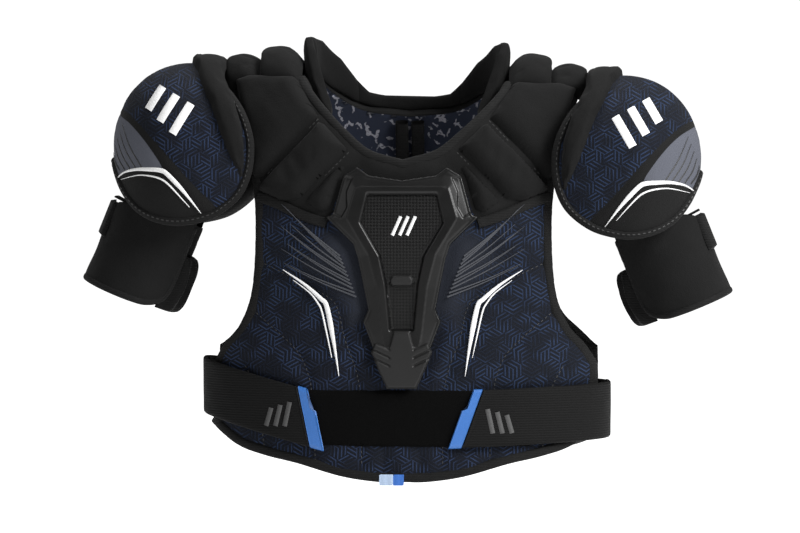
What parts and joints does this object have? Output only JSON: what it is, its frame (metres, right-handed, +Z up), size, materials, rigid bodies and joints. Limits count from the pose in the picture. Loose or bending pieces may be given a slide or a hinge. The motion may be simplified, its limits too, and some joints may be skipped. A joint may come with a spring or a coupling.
{
  "type": "ice hockey shoulder pads",
  "caption": "Padded chest and back with a collar, sternum guard, floating shoulder caps, hanging upper-arm guards and elastic belly straps.",
  "frame": {"origin": "on the wearer's centre line, midway between chest and back, level with the lowest point of the chest's hem, which is within 1 mm of the middle of the bottom of the bounding box", "axes": "+Z up along the body, -Y out of the chest, +X to the viewer's right when facing the chest"},
  "size_m": [0.6554, 0.2309, 0.4489],
  "materials": {
    "black_knit": "matt brushed knit, black",
    "blue_print_knit": "matt woven polyester with a fine blue angular print on black",
    "lining_mesh": "navy brushed tricot lining",
    "foam": "closed-cell foam, matt",
    "binding_tape": "folded elastic binding tape, black",
    "shell_plastic": "moulded polyethylene, matt black",
    "guard_frame_plastic": "satin dark grey moulded plastic",
    "carbon_look_plastic": "semi-gloss dark plastic with a woven-look texture",
    "loop_velcro": "black loop pile",
    "elastic_webbing": "ribbed black elastic",
    "tip_blue": "bright blue welded film",
    "label_fabric": "white and blue woven label"
  },
  "bodies": {
    "back_harness": {"back_cover": "black_knit", "back_foam": "foam", "back_lining": "lining_mesh", "back_binding": "binding_tape", "spine_guard": "shell_plastic", "back_pads": "black_knit", "spine_loops": "lining_mesh", "strap_anchors": "elastic_webbing", "collar_pad_left": "black_knit", "collar_pad_right": "black_knit", "collar_back": "black_knit", "inner_roll_left": "black_knit", "inner_roll_right": "black_knit", "outer_roll_left": "black_knit", "outer_roll_right": "black_knit"},
    "chest": {"front_cover": "blue_print_knit", "front_foam": "foam", "front_lining": "lining_mesh", "front_binding": "binding_tape", "clavicle_pads_left": "black_knit", "clavicle_pads_right": "black_knit", "seam_tapes": "binding_tape", "sternum_backing": "shell_plastic", "sternum_frame": "guard_frame_plastic", "sternum_insert": "carbon_look_plastic", "sternum_channel": "carbon_look_plastic", "sternum_clip": "shell_plastic", "sternum_tail": "shell_plastic", "landing_strip": "loop_velcro", "size_label": "label_fabric"},
    "cap_left": {"cap_cover_left": "blue_print_knit", "cap_plate_left": "shell_plastic", "cap_foam_left": "foam", "cap_binding_left": "binding_tape", "cap_roll_left": "black_knit", "hanger_root_left": "elastic_webbing"},
    "arm_guard_left": {"guard_cover_left": "black_knit", "guard_plate_left": "shell_plastic", "guard_foam_left": "foam", "guard_hem_left": "binding_tape", "hanger_strap_left": "elastic_webbing"},
    "arm_strap_left": {"arm_strap_left": "elastic_webbing"},
    "belly_strap_left": {"belly_strap_left": "elastic_webbing", "strap_tab_left": "elastic_webbing", "strap_tip_left": "tip_blue"},
    "cap_right": {"cap_cover_right": "blue_print_knit", "cap_plate_right": "shell_plastic", "cap_foam_right": "foam", "cap_binding_right": "binding_tape", "cap_roll_right": "black_knit", "hanger_root_right": "elastic_webbing"},
    "arm_guard_right": {"guard_cover_right": "black_knit", "guard_plate_right": "shell_plastic", "guard_foam_right": "foam", "guard_hem_right": "binding_tape", "hanger_strap_right": "elastic_webbing"},
    "arm_strap_right": {"arm_strap_right": "elastic_webbing"},
    "belly_strap_right": {"belly_strap_right": "elastic_webbing", "strap_tab_right": "elastic_webbing", "strap_tip_right": "tip_blue"}
  },
  "joints": [
    {"name": "chest_fold", "type": "hinge", "parent": "back_harness", "child": "chest", "pos_m": [0, 0, 0.398], "axis": [1, 0, 0], "range_deg": [0, 7]},
    {"name": "cap_lift_left", "type": "hinge", "parent": "back_harness", "child": "cap_left", "pos_m": [-0.184, 0, 0.41], "axis": [0, 1, 0], "range_deg": [0, 35]},
    {"name": "guard_swing_left", "type": "hinge", "parent": "cap_left", "child": "arm_guard_left", "pos_m": [-0.2948, 0, 0.2845], "axis": [0, 1, 0], "range_deg": [-12, 22]},
    {"name": "arm_strap_open_left", "type": "hinge", "parent": "arm_guard_left", "child": "arm_strap_left", "pos_m": [-0.24901, 0.0534, 0.19982], "axis": [0.3746, 0, 0.9272], "range_deg": [0, 40]},
    {"name": "belly_strap_open_left", "type": "hinge", "parent": "back_harness", "child": "belly_strap_left", "pos_m": [-0.2015, 0.0235, 0.07], "axis": [0, 0, -1], "range_deg": [0, 100]},
    {"name": "cap_lift_right", "type": "hinge", "parent": "back_harness", "child": "cap_right", "pos_m": [0.184, 0, 0.397], "axis": [0, -1, 0], "range_deg": [0, 35]},
    {"name": "guard_swing_right", "type": "hinge", "parent": "cap_right", "child": "arm_guard_right", "pos_m": [0.2948, 0, 0.2715], "axis": [0, -1, 0], "range_deg": [-12, 22]},
    {"name": "arm_strap_open_right", "type": "hinge", "parent": "arm_guard_right", "child": "arm_strap_right", "pos_m": [0.24901, 0.0534, 0.18682], "axis": [0.3746, 0, -0.9272], "range_deg": [0, 40]},
    {"name": "belly_strap_open_right", "type": "hinge", "parent": "back_harness", "child": "belly_strap_right", "pos_m": [0.2015, 0.0235, 0.07], "axis": [0, 0, 1], "range_deg": [0, 100]}
  ]
}
